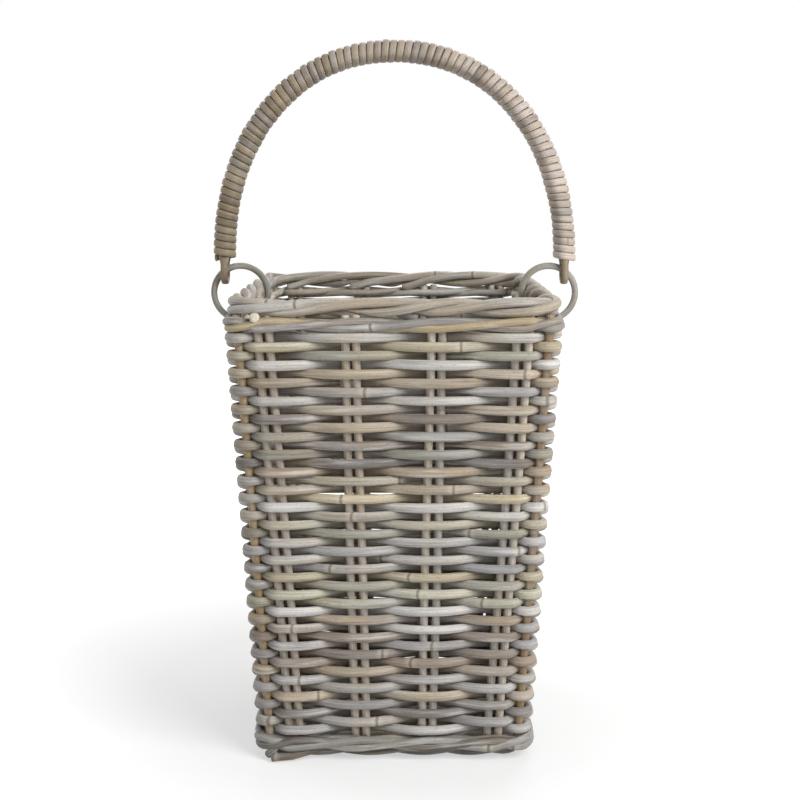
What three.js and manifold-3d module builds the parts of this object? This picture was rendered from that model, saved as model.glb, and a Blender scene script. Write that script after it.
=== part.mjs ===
// Stair basket of grey rattan: a tall front well that stands on the lower tread, a shallow rear
// well that rests on the next tread up, and a wrapped bail handle hung on two rings.
// Millimetres, +Z up, front wall towards -Y, origin under the middle of the rim's outline.

import * as THREE from 'three';
import Module from 'manifold-3d';

// Overall sizes
const bodyHeight = 400;          // floor to the top of the rim border
const rimWidth = 268;            // between the side walls' middle planes, at the rim
const rimDepth = 376;            // between the front and back walls' middle planes, at the rim
const baseWidth = 219;           // the same width at the floor
const baseDepth = 200;           // front wall to riser, at the floor
const frontLean = 12;            // how far the front wall steps in from rim to floor
const backLean = 12;             // the same for the back wall, carried on down to the floor
const stepHeight = 182;          // height of the stair riser that the step clears

// Rods
const stakeDiameter = 6;
const pairGap = 3.5;             // between the two stakes of a pair
const frontPairs = 4;            // pairs in the front wall, and so in the riser and the back wall
const sidePairs = 3;             // pairs in each side of the front well, and of the rear well
const cornerGap = 25;            // from a corner to the middle of the nearest pair
const bendRadius = 7;            // of a stake where it turns from floor to wall
const weaverWidth = 7.2;         // weaver across the wall
const weaverHeight = 6.3;        // weaver along the wall
const rowPitch = 6.85;           // one row of weaving to the next
const bendCrown = 1.3;           // height of a weaver's bend, as a multiple of just touching the stakes
const lowerTurns = 12;           // turns of each weaver round the front well
const upperTurns = 11;           // turns of each weaver round the whole rim
const clearance = 0.3;           // between pieces that touch on the real basket

// Hoops, wales and border
const hoopWidth = 9;
const hoopHeight = 8.7;
const hoopChamfer = 2;
const waleDiameter = 6;
const footWaleTwists = 8;
const topWaleDrop = 1.5;         // of the upper top wale below the border
const topWaleRows = 2;
const borderStrandDiameter = 7.2;
const borderStrands = 3;
const borderTwists = 10;
const ropeCornerRadius = 25;     // of the border and the foot wale, in plan

// Rings and handle
const ringDiameter = 51.6;       // at the middle of the wire
const ringWire = 6.2;
const ringLean = THREE.MathUtils.degToRad(100);  // from upright, of the way the ring hangs off the border
const eyeLean = THREE.MathUtils.degToRad(35);    // from upright, of the eye's place on the ring
const ringSlot = 22;             // length of rim left free of top wale, for the ring
const eyeWire = 5.6;
const eyePlay = 1;               // between the handle's eye and the ring's wire
const neckLength = 4;            // bare core between the eye and the wrapping
const coreDiameter = 12.8;
const wrapThickness = 2.8;
const stripWidth = 8.7;          // of the flat cane that wraps the handle
const wrapTurns = 51;
const handleRise = 194;          // arch above its necks, at the middle of the core
const archFullness = 2.12;       // 2 is an ellipse, more is squarer

// Facets
const rodSides = 6;
const bendSteps = 2;
const twistSteps = 6;
const wrapSteps = 6;
const archSteps = 24;
const coreSides = 8;
const eyeSides = 6;
const eyeSteps = 12;
const ringSides = 8;
const ringSteps = 20;

const lerp = THREE.MathUtils.lerp;
const vec = (x, y, z) => new THREE.Vector3(x, y, z);
const UP = vec(0, 0, 1);

// Walls. Each lean is straight from floor to rim, so a wall's place is a function of height.
const shareOfHeight = (z) => z / bodyHeight;
const sideX = (z) => lerp(baseWidth, rimWidth, shareOfHeight(z)) / 2;
const frontY = (z) => -rimDepth / 2 + frontLean * (1 - shareOfHeight(z));
const backY = (z) => rimDepth / 2 - backLean * (1 - shareOfHeight(z));
const riserY = frontY(0) + baseDepth;

// Heights of the layers, from the floor up
const stakeRadius = stakeDiameter / 2;
const layer = stakeDiameter + clearance;
const baseCrossZ = hoopHeight + clearance + stakeRadius;
const baseLongZ = baseCrossZ + layer;
const stepCrossZ = stepHeight + hoopHeight + clearance + stakeRadius;
const stepLongZ = stepCrossZ + layer;

// Twisted strands keep clear of each other at the middle of their straight facets.
const facetInset = Math.cos(Math.PI / twistSteps);
const strandSpread = (diameter, count) =>
  (diameter + clearance) / (2 * Math.sin(Math.PI / count) * facetInset);
const borderTwist = strandSpread(borderStrandDiameter, borderStrands);
const borderRadius = borderTwist + borderStrandDiameter / 2;
const borderZ = bodyHeight - borderRadius;
const stakeTopZ = borderZ - borderRadius - clearance;
const footTwist = strandSpread(waleDiameter, 2);
const footWaleRadius = footTwist + waleDiameter / 2;
const footWaleZ = hoopHeight + clearance + footWaleRadius;
const lowerStartZ = footWaleZ + footWaleRadius + clearance + weaverHeight / 2;
const upperStartZ = stepLongZ + clearance;
const topWaleZ = stakeTopZ - topWaleDrop - waleDiameter / 2;

// Weavers and stake pairs
const weaveReach = (stakeRadius + weaverWidth / 2 + clearance) * bendCrown;
const pairHalf = (stakeDiameter + pairGap) / 2;
const pairX = (index, z) => {
  const outer = sideX(z) - cornerGap;
  return lerp(-outer, outer, index / (frontPairs - 1));
};
const spread = (first, last, count) =>
  Array.from({ length: count }, (_, index) => lerp(first, last, index / (count - 1)));
const frontSideY = spread(frontY(0) + cornerGap, riserY - cornerGap, sidePairs);
const rearSideY = spread(riserY + cornerGap, backY(stepLongZ) - cornerGap, sidePairs);

const basket = new THREE.Group();
const finish = (color, roughness) => new THREE.MeshStandardMaterial({ color, roughness, metalness: 0 });
const paleRattan = finish(0xaaa592, 0.75);
const greyRattan = finish(0x96928a, 0.78);
const brownRattan = finish(0x8f7d68, 0.8);
const stakeRattan = finish(0xb6a893, 0.72);
const handleCane = finish(0x9c8b74, 0.6);

function add(name, geometry, material) {
  const mesh = new THREE.Mesh(geometry, material);
  mesh.name = name;
  basket.add(mesh);
}

// Joins rings of points into one closed skin, with end caps unless it runs round to its start.
function skin(rings, closed) {
  const sides = rings[0].length;
  const positions = rings.flat().flatMap((point) => [point.x, point.y, point.z]);
  const index = [];
  const spans = closed ? rings.length : rings.length - 1;
  for (let ring = 0; ring < spans; ring += 1) {
    const here = ring * sides;
    const next = ((ring + 1) % rings.length) * sides;
    for (let side = 0; side < sides; side += 1) {
      const turn = (side + 1) % sides;
      index.push(here + side, next + side, next + turn, here + side, next + turn, here + turn);
    }
  }
  if (!closed) {
    const last = (rings.length - 1) * sides;
    for (let side = 1; side < sides - 1; side += 1) {
      index.push(0, side, side + 1, last, last + side + 1, last + side);
    }
  }
  const geometry = new THREE.BufferGeometry();
  geometry.setAttribute('position', new THREE.Float32BufferAttribute(positions, 3));
  geometry.setIndex(index);
  return facingOut(geometry);
}

// Reverses the triangles of a skin whose faces point inwards.
function facingOut(geometry) {
  const index = geometry.index.array;
  const position = geometry.attributes.position;
  const corner = [vec(), vec(), vec()];
  let volume = 0;
  for (let face = 0; face < index.length; face += 3) {
    corner.forEach((point, k) => point.fromBufferAttribute(position, index[face + k]));
    volume += corner[0].dot(corner[1].clone().cross(corner[2]));
  }
  if (volume < 0) {
    for (let face = 0; face < index.length; face += 3) {
      [index[face + 1], index[face + 2]] = [index[face + 2], index[face + 1]];
    }
  }
  return geometry;
}

// Direction of travel at each point of a path, from its neighbours.
function headings(points, closed) {
  const count = points.length;
  return points.map((point, k) => {
    const before = points[closed ? (k + count - 1) % count : Math.max(k - 1, 0)];
    const after = points[closed ? (k + 1) % count : Math.min(k + 1, count - 1)];
    return after.clone().sub(before).normalize();
  });
}

// A section that stays upright along a path, mitred in plan where the path turns.
function uprightRod(points, section, closed) {
  const count = points.length;
  const rings = points.map((point, k) => {
    const before = points[closed ? (k + count - 1) % count : k - 1];
    const after = points[closed ? (k + 1) % count : k + 1];
    const into = (before ? point.clone().sub(before) : after.clone().sub(point)).setZ(0).normalize();
    const out = (after ? after.clone().sub(point) : into.clone()).setZ(0).normalize();
    const along = into.clone().add(out).normalize();
    const across = UP.clone().cross(along).divideScalar(along.dot(into));
    return section.map(([side, up]) => point.clone().addScaledVector(across, side).addScaledVector(UP, up));
  });
  return skin(rings, closed);
}

// A round rod along a path. Its rings are carried along the path without twisting.
function roundRod(points, diameter, closed) {
  const tangents = headings(points, closed);
  let normal = points.at(-1).clone().sub(points[0]);
  const rings = points.map((point, k) => {
    const tangent = tangents[k];
    const carried = closed ? UP : normal;
    normal = carried.clone().addScaledVector(tangent, -carried.dot(tangent)).normalize();
    const side = tangent.clone().cross(normal);
    return Array.from({ length: rodSides }, (_, corner) => {
      const angle = (2 * Math.PI * corner) / rodSides;
      return point.clone()
        .addScaledVector(normal, Math.cos(angle) * diameter / 2)
        .addScaledVector(side, Math.sin(angle) * diameter / 2);
    });
  });
  return skin(rings, closed);
}

// A path through corner points with each inner corner rounded to the bend radius.
function bentPath(corners, radius) {
  const path = [corners[0]];
  for (let k = 1; k < corners.length - 1; k += 1) {
    const into = corners[k].clone().sub(corners[k - 1]).normalize();
    const out = corners[k + 1].clone().sub(corners[k]).normalize();
    const half = into.angleTo(out) / 2;
    const inward = out.clone().sub(into).normalize();
    const centre = corners[k].clone().addScaledVector(inward, radius / Math.cos(half));
    const along = into.clone().add(out).normalize();
    for (let step = 0; step <= bendSteps; step += 1) {
      const angle = lerp(-half, half, step / bendSteps);
      path.push(centre.clone()
        .addScaledVector(inward, -radius * Math.cos(angle))
        .addScaledVector(along, radius * Math.sin(angle)));
    }
  }
  path.push(corners[corners.length - 1]);
  return path;
}

// Outline of a rectangle in plan as evenly spaced stations, each with its place and outward side.
function roundedOutline(halfX, front, back, radius, stations) {
  const outline = new THREE.Path();
  outline.moveTo(0, front);
  outline.lineTo(halfX - radius, front);
  outline.absarc(halfX - radius, front + radius, radius, -Math.PI / 2, 0);
  outline.lineTo(halfX, back - radius);
  outline.absarc(halfX - radius, back - radius, radius, 0, Math.PI / 2);
  outline.lineTo(radius - halfX, back);
  outline.absarc(radius - halfX, back - radius, radius, Math.PI / 2, Math.PI);
  outline.lineTo(-halfX, front + radius);
  outline.absarc(radius - halfX, front + radius, radius, Math.PI, 1.5 * Math.PI);
  outline.lineTo(0, front);
  return Array.from({ length: stations }, (_, k) => {
    const place = outline.getPointAt(k / stations);
    const ahead = outline.getTangentAt(k / stations);
    return { place, outward: vec(ahead.y, -ahead.x, 0) };
  });
}

// One strand of a rope that is laid round a closed outline.
function laidStrand(outline, z, spreadRadius, phase, twists) {
  return outline.map(({ place, outward }, k) => {
    const angle = 2 * Math.PI * (twists * k / outline.length + phase);
    return vec(place.x, place.y, z)
      .addScaledVector(outward, spreadRadius * Math.cos(angle))
      .addScaledVector(UP, spreadRadius * Math.sin(angle));
  });
}

// Stakes. The long ones run from the front rim down, under the front well, up the riser, along the
// step and up the back wall. The cross ones make a U from side to side, under each well.
for (let pair = 0; pair < frontPairs; pair += 1) {
  [-pairHalf, pairHalf].forEach((offset, rod) => {
    const at = (y, z) => vec(pairX(pair, z) + offset, y, z);
    const corners = [
      at(frontY(stakeTopZ), stakeTopZ),
      at(frontY(baseLongZ), baseLongZ),
      at(riserY, baseLongZ),
      at(riserY, stepLongZ),
      at(backY(stepLongZ), stepLongZ),
      at(backY(stakeTopZ), stakeTopZ),
    ];
    const path = bentPath(corners, bendRadius);
    add(`long_stake_${2 * pair + rod + 1}`, roundRod(path, stakeDiameter, false), stakeRattan);
  });
}

function addCrossStakes(prefix, places, floorZ) {
  places.forEach((y, pair) => {
    [-pairHalf, pairHalf].forEach((offset, rod) => {
      const corners = [
        vec(-sideX(stakeTopZ), y + offset, stakeTopZ),
        vec(-sideX(floorZ), y + offset, floorZ),
        vec(sideX(floorZ), y + offset, floorZ),
        vec(sideX(stakeTopZ), y + offset, stakeTopZ),
      ];
      const path = bentPath(corners, bendRadius);
      add(`${prefix}_${2 * pair + rod + 1}`, roundRod(path, stakeDiameter, false), stakeRattan);
    });
  });
}
addCrossStakes('front_cross_stake', frontSideY, baseCrossZ);
addCrossStakes('rear_cross_stake', rearSideY, stepCrossZ);

// Wall weaving. A loop round a well passes its corners and stake pairs in order.
const diamond = (width, height) => [[width / 2, 0], [0, height / 2], [-width / 2, 0], [0, -height / 2]];
const weaverSection = diamond(weaverWidth, weaverHeight);
const corner = (x, y) => ({ corner: true, at: (z) => vec(x(z), y(z), z) });
const pairAt = (x, y, outward) => ({ outward, at: (z) => vec(x(z), y(z), z) });
const pairNumbers = Array.from({ length: frontPairs }, (_, index) => index);

function loopRound(rearY, sideYs) {
  const leftX = (z) => -sideX(z);
  const front = pairNumbers.map((pair) => pairAt((z) => pairX(pair, z), frontY, vec(0, -1, 0)));
  const right = sideYs.map((y) => pairAt(sideX, () => y, vec(1, 0, 0)));
  const rear = pairNumbers.map((pair) => pairAt((z) => -pairX(pair, z), rearY, vec(0, 1, 0)));
  const left = sideYs.toReversed().map((y) => pairAt(leftX, () => y, vec(-1, 0, 0)));
  return {
    front: [corner(leftX, frontY), ...front, corner(sideX, frontY), ...right],
    rear: [corner(sideX, rearY), ...rear, corner(leftX, rearY), ...left],
  };
}

// A weaver climbs two rows a turn, over one pair and under the next, with its twin in between.
function weaverPath(stations, startZ, strand, turns) {
  const path = [];
  let pair = strand;
  for (let step = 0; step <= turns * stations.length; step += 1) {
    const station = stations[step % stations.length];
    const z = startZ + rowPitch * (strand + 2 * step / stations.length);
    const point = station.at(z);
    if (!station.corner) {
      point.addScaledVector(station.outward, pair % 2 ? -weaveReach : weaveReach);
      pair += 1;
    }
    path.push(point);
  }
  return path;
}

const lowerLoop = loopRound(() => riserY, frontSideY);
const upperLoop = loopRound(backY, [...frontSideY, ...rearSideY]);
[0, 1].forEach((strand) => {
  const lower = weaverPath([...lowerLoop.rear, ...lowerLoop.front], lowerStartZ, strand, lowerTurns);
  const upper = weaverPath([...upperLoop.front, ...upperLoop.rear], upperStartZ, strand, upperTurns);
  const material = strand ? paleRattan : greyRattan;
  add(`lower_weaver_${strand + 1}`, uprightRod(lower, weaverSection, false), material);
  add(`upper_weaver_${strand + 1}`, uprightRod(upper, weaverSection, false), material);
});

// Floor weaving. One rod goes back and forth over and under the long stakes, between the cross
// stakes, and turns back just past the outer pairs.
const floorSection = diamond(weaverHeight, weaverHeight);
const floorReach = stakeRadius + weaverHeight / 2 + clearance;

function floorWeaver(longZ, crossYs) {
  const laneHalf = pairHalf + stakeRadius + clearance + weaverHeight / 2;
  const rows = crossYs.slice(1).flatMap((y, bay) => {
    const first = crossYs[bay] + laneHalf;
    const last = y - laneHalf;
    return spread(first, last, Math.floor((last - first) / rowPitch) + 1);
  });
  const turnX = pairX(frontPairs - 1, longZ) + laneHalf;
  const path = [];
  rows.forEach((y, row) => {
    const lift = (pair) => ((row + pair) % 2 ? -floorReach : floorReach);
    const run = pairNumbers.flatMap((pair) => [
      vec(pairX(pair, longZ) - pairHalf, y, longZ + lift(pair)),
      vec(pairX(pair, longZ) + pairHalf, y, longZ + lift(pair)),
    ]);
    run.unshift(vec(-turnX, y, longZ + lift(0)));
    run.push(vec(turnX, y, longZ + lift(frontPairs - 1)));
    if (row % 2) run.reverse();
    const previous = path.at(-1);
    if (previous && y - previous.y > 2 * laneHalf - clearance) {
      const overY = run[0].z > longZ ? previous.y + rowPitch : y - rowPitch;
      path.push(vec(run[0].x, overY, longZ + floorReach));
    }
    path.push(...run);
  });
  return uprightRod(path, floorSection, false);
}
add('base_weaver', floorWeaver(baseLongZ, frontSideY), greyRattan);
add('step_weaver', floorWeaver(stepLongZ, rearSideY), greyRattan);

// Hoops. The foot hoop runs round under the front well and the step hoop round three sides of the
// rear well. Both have a flat underside, which is what the basket stands on.
const hoopSection = [
  [-hoopWidth / 2 + hoopChamfer, 0],
  [hoopWidth / 2 - hoopChamfer, 0],
  [hoopWidth / 2, hoopChamfer],
  [hoopWidth / 2, hoopHeight - hoopChamfer],
  [hoopWidth / 2 - hoopChamfer, hoopHeight],
  [-hoopWidth / 2 + hoopChamfer, hoopHeight],
  [-hoopWidth / 2, hoopHeight - hoopChamfer],
  [-hoopWidth / 2, hoopChamfer],
];
const hoopInset = bendRadius + hoopChamfer - hoopWidth / 2;
const footX = sideX(0) - hoopInset;
const footFrontY = frontY(0) + hoopInset;
const footRearY = riserY - hoopInset;
const footPath = [
  vec(-footX, footFrontY, 0),
  vec(footX, footFrontY, 0),
  vec(footX, footRearY, 0),
  vec(-footX, footRearY, 0),
];
add('foot_hoop', uprightRod(footPath, hoopSection, true), brownRattan);

const weaveDepth = weaveReach + weaverWidth / 2;
const stepX = sideX(stepHeight) - hoopInset;
const stepFrontY = riserY + weaveDepth + clearance;
const stepBackY = backY(stepHeight) - hoopInset;
const stepPath = [
  vec(-stepX, stepFrontY, stepHeight),
  vec(-stepX, stepBackY, stepHeight),
  vec(stepX, stepBackY, stepHeight),
  vec(stepX, stepFrontY, stepHeight),
];
add('step_hoop', uprightRod(stepPath, hoopSection, false), brownRattan);

// Wales. Two strands twisted round the foot, one strand outside the stakes along the step, and two
// rows under the border, each in two lengths that leave room for the rings.
const besideBend = (radius, z, bendZ) =>
  Math.sqrt((bendRadius + stakeRadius + clearance + radius) ** 2 - (bendZ + bendRadius - z) ** 2) - bendRadius;
const footWaleOut = besideBend(footWaleRadius, footWaleZ, baseCrossZ);
const footOutline = roundedOutline(
  sideX(footWaleZ) + footWaleOut,
  frontY(footWaleZ) - footWaleOut,
  riserY + footWaleOut,
  ropeCornerRadius,
  footWaleTwists * twistSteps,
);
[0, 1].forEach((strand) => {
  const path = laidStrand(footOutline, footWaleZ, footTwist, strand / 2, footWaleTwists);
  add(`foot_wale_${strand + 1}`, roundRod(path, waleDiameter, true), strand ? greyRattan : brownRattan);
});

// A single wale from one side round the front or back to the other, outside the stakes.
const singleOut = stakeRadius + clearance + waleDiameter / 2;
function singleWale(startY, endY, out, z) {
  const x = sideX(z) + out;
  const corners = [vec(-x, startY, z), vec(-x, endY, z), vec(x, endY, z), vec(x, startY, z)];
  return roundRod(bentPath(corners, bendRadius), waleDiameter, false);
}
const stepWaleZ = stepHeight + hoopHeight + clearance + waleDiameter / 2;
const ringY = (frontSideY[sidePairs - 1] + rearSideY[0]) / 2;
const slotHalf = ringSlot / 2;
const stepOut = besideBend(waleDiameter / 2, stepWaleZ, stepCrossZ);
const stepWale = singleWale(stepFrontY, backY(stepWaleZ) + stepOut, stepOut, stepWaleZ);
add('step_wale', stepWale, brownRattan);
for (let row = 0; row < topWaleRows; row += 1) {
  const z = topWaleZ - row * (waleDiameter + clearance);
  const frontWale = singleWale(ringY - slotHalf, frontY(z) - singleOut, singleOut, z);
  const rearWale = singleWale(ringY + slotHalf, backY(z) + singleOut, singleOut, z);
  add(`front_wale_${row + 1}`, frontWale, greyRattan);
  add(`rear_wale_${row + 1}`, rearWale, greyRattan);
}

// Rim border of three strands laid round each other, on the ends of the stakes.
const borderX = sideX(borderZ);
const borderOutline = roundedOutline(
  borderX, frontY(borderZ), backY(borderZ), ropeCornerRadius, borderTwists * twistSteps,
);
Array.from({ length: borderStrands }, (_, strand) => {
  const path = laidStrand(borderOutline, borderZ, borderTwist, strand / borderStrands, borderTwists);
  const material = [paleRattan, stakeRattan, greyRattan][strand];
  add(`border_strand_${strand + 1}`, roundRod(path, borderStrandDiameter, true), material);
});

// Rings. Each goes round the border and through the wall under it, and leans out to the handle.
const borderMean = borderTwist * facetInset + borderStrandDiameter / 2;
const ringHang = ringDiameter / 2 - ringWire / 2 - borderMean;
const ringX = borderX + ringHang * Math.sin(ringLean);
const ringZ = borderZ + ringHang * Math.cos(ringLean);
[['ring_left', -1], ['ring_right', 1]].forEach(([name, side]) => {
  const geometry = new THREE.TorusGeometry(ringDiameter / 2, ringWire / 2, ringSides, ringSteps);
  add(name, geometry.rotateX(Math.PI / 2).translate(side * ringX, ringY, ringZ), brownRattan);
});

// Handle. The core is a bent rod with an eye at each end, round the ring's wire at its leaning top.
const eyeX = ringX + ringDiameter / 2 * Math.sin(eyeLean);
const eyeZ = ringZ + ringDiameter / 2 * Math.cos(eyeLean);
const eyeRadius = (eyeWire / 2 + ringWire / 2 + eyePlay) / Math.cos(eyeLean);
const archZ = eyeZ + eyeRadius + neckLength;

class Arch extends THREE.Curve {
  getPoint(t) {
    const angle = Math.PI * (1 - t);
    const power = 2 / archFullness;
    const x = Math.sign(Math.cos(angle)) * Math.abs(Math.cos(angle)) ** power;
    const z = Math.abs(Math.sin(angle)) ** power;
    return vec(eyeX * x, ringY, archZ + handleRise * z);
  }
}
const arch = new Arch();
arch.arcLengthDivisions = 800;

// Place and directions at a share of the arch's length: along it, outwards, and to the side.
function archFrame(share) {
  const along = arch.getTangentAt(share);
  return { place: arch.getPointAt(share), along, outward: vec(-along.z, 0, along.x), side: vec(0, 1, 0) };
}

function coreRing(place, outward, diameter) {
  return Array.from({ length: coreSides }, (_, k) => {
    const angle = (2 * Math.PI * k) / coreSides;
    return place.clone()
      .addScaledVector(outward, Math.cos(angle) * diameter / 2)
      .addScaledVector(vec(0, 1, 0), Math.sin(angle) * diameter / 2);
  });
}

const coreRings = [coreRing(vec(-eyeX, ringY, archZ - neckLength), vec(-1, 0, 0), eyeWire)];
for (let step = 0; step <= archSteps; step += 1) {
  const { place, outward } = archFrame(step / archSteps);
  coreRings.push(coreRing(place, outward, coreDiameter));
}
coreRings.push(coreRing(vec(eyeX, ringY, archZ - neckLength), vec(1, 0, 0), eyeWire));

const wasm = await Module();
wasm.setup();

function solid(geometry) {
  const merged = new Map();
  const points = [];
  const position = geometry.attributes.position;
  const number = Array.from({ length: position.count }, (_, k) => {
    const key = [position.getX(k), position.getY(k), position.getZ(k)].map((v) => v.toFixed(3)).join();
    if (!merged.has(key)) {
      merged.set(key, points.length / 3);
      points.push(position.getX(k), position.getY(k), position.getZ(k));
    }
    return merged.get(key);
  });
  const triangles = Array.from(geometry.index.array, (k) => number[k]);
  return new wasm.Manifold(new wasm.Mesh({
    numProp: 3,
    vertProperties: new Float32Array(points),
    triVerts: new Uint32Array(triangles),
  }));
}

function eye(side) {
  const geometry = new THREE.TorusGeometry(eyeRadius, eyeWire / 2, eyeSides, eyeSteps);
  return solid(geometry.rotateY(Math.PI / 2).translate(side * eyeX, ringY, eyeZ));
}
const coreMesh = solid(skin(coreRings, false)).add(eye(-1)).add(eye(1)).getMesh();
const coreGeometry = new THREE.BufferGeometry();
coreGeometry.setAttribute('position', new THREE.BufferAttribute(coreMesh.vertProperties, 3));
coreGeometry.setIndex(new THREE.BufferAttribute(coreMesh.triVerts, 1));
add('handle_core', coreGeometry, handleCane);

// The wrapping is one flat strip of cane, wound round the core from neck to neck.
const archLength = arch.getLength();
const endRoom = stripWidth / 2 / archLength;
const wrapRings = [];
for (let step = 0; step <= wrapTurns * wrapSteps; step += 1) {
  const { place, along, outward, side } = archFrame(lerp(endRoom, 1 - endRoom, step / (wrapTurns * wrapSteps)));
  const angle = (2 * Math.PI * step) / wrapSteps;
  const away = outward.clone().multiplyScalar(Math.cos(angle)).addScaledVector(side, Math.sin(angle));
  const inner = (coreDiameter / 2 + clearance) / Math.cos(Math.PI / wrapSteps);
  const outer = inner + wrapThickness;
  wrapRings.push([[inner, -1], [outer, -1], [outer, 1], [inner, 1]].map(([reach, edge]) => (
    place.clone().addScaledVector(away, reach).addScaledVector(along, edge * stripWidth / 2)
  )));
}
add('handle_wrap', skin(wrapRings, false), handleCane);

// Least gap from one turn of the wrapping to the next, between the edges that face each other.
let leastGap = Infinity;
for (let step = 0; step + wrapSteps < wrapRings.length; step += 1) {
  const here = wrapRings[step];
  const next = wrapRings[step + wrapSteps];
  leastGap = Math.min(leastGap, here[3].distanceTo(next[0]), here[2].distanceTo(next[1]));
}
console.log(`handle_wrap least gap between turns ${leastGap.toFixed(2)} mm`);

export default basket;
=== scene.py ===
import math
import random

import bpy
import numpy as np
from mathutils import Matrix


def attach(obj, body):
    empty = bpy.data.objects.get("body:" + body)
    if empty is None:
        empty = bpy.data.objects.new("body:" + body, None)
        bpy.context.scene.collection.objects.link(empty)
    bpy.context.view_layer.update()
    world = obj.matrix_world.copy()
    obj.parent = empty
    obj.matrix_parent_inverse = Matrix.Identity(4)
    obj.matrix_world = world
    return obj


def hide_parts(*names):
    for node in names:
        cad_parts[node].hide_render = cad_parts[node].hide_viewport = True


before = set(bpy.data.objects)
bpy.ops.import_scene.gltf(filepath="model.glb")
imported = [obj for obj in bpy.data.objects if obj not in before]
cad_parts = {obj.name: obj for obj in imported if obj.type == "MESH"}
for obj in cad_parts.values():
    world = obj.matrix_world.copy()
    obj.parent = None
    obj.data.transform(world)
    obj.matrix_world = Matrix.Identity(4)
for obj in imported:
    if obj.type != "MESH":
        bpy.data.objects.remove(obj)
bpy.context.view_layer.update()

# Stakes: peeled rattan rods of 7 mm that stand in pairs in every wall. Each long one is a single rod
# from the front rim, under the well, up the riser, along the step and up the back wall, and the cross
# ones are bent to a U from side to side. They are bent wet and held by the weaving alone.
MM = 0.001
body_height = 400 * MM
rim_half_width = 134 * MM
base_half_width = 109.5 * MM
rim_half_depth = 188 * MM
wall_lean = 12 * MM
riser_y = 24 * MM
stake_radius = 3.55 * MM
pair_half = 4.75 * MM
corner_gap = 25 * MM
stake_top = 385 * MM
base_cross_z = 12 * MM
base_long_z = 18.3 * MM
step_cross_z = 194 * MM
step_long_z = 200.3 * MM
front_side_y = [-151 * MM, -76 * MM, -1 * MM]
rear_side_y = [49 * MM, 103 * MM, 157 * MM]
stake_bend = 7 * MM
stake_waver = 0.5 * MM
long_waver = (14, 20)
cross_waver = (9, 14)
point_spacing = 5 * MM
rod_sides = 12
scar_spacing = 370 * MM
scar_width = 2.5 * MM
scar_swell = 0.05
end_push = np.array([-0.8, -0.32, 0.32, 0.8]) * MM
end_shrink = [0.55, 0.9, 0.9, 0.55]


def side_x(z):
    return base_half_width + (rim_half_width - base_half_width) * z / body_height


def front_y(z):
    return -rim_half_depth + wall_lean * (1 - z / body_height)


def riser_wall(z):
    return riser_y


def back_y(z):
    return rim_half_depth - wall_lean * (1 - z / body_height)


def pair_x(pair, z):
    outer = side_x(z) - corner_gap
    return outer * (2 * pair / 3 - 1)


def linear(red, green, blue):
    shares = [value / 255 for value in (red, green, blue)]
    return tuple(c / 12.92 if c < 0.04045 else ((c + 0.055) / 1.055) ** 2.4 for c in shares)


def bent_path(corners, radius, steps=10):
    """Points along a rod that is bent to one radius at each inner corner."""
    corners = [np.array(corner, dtype=float) for corner in corners]
    path = [corners[0]]
    for before, here, after in zip(corners, corners[1:], corners[2:]):
        into = (here - before) / np.linalg.norm(here - before)
        out = (after - here) / np.linalg.norm(after - here)
        half = math.acos(max(-1.0, min(1.0, float(into @ out)))) / 2
        inward = (out - into) / np.linalg.norm(out - into)
        ahead = (into + out) / np.linalg.norm(into + out)
        centre = here + inward * radius / math.cos(half)
        for step in range(steps + 1):
            angle = half * (2 * step / steps - 1)
            path.append(centre - inward * radius * math.cos(angle) + ahead * radius * math.sin(angle))
    path.append(corners[-1])
    return np.array(path)


def evenly(path, spacing):
    """The same path with points at an even spacing."""
    path = np.asarray(path, dtype=float)
    lengths = np.concatenate([[0], np.cumsum(np.linalg.norm(np.diff(path, axis=0), axis=1))])
    count = max(3, int(round(lengths[-1] / spacing)) + 1)
    places = np.linspace(0, lengths[-1], count)
    return np.stack([np.interp(places, lengths, path[:, axis]) for axis in range(3)], axis=1)


def waver(count, low, high, chance):
    """The slow sideways wander of a rod that is bent by hand."""
    turns = np.linspace(0, chance.uniform(low, high), count)
    return stake_waver * np.sin(turns + chance.uniform(0, 6))


def cut_place(chance):
    """How far along its cane a rod was cut, so that no two rods show the same grain."""
    return chance.uniform(0, 9)


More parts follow.
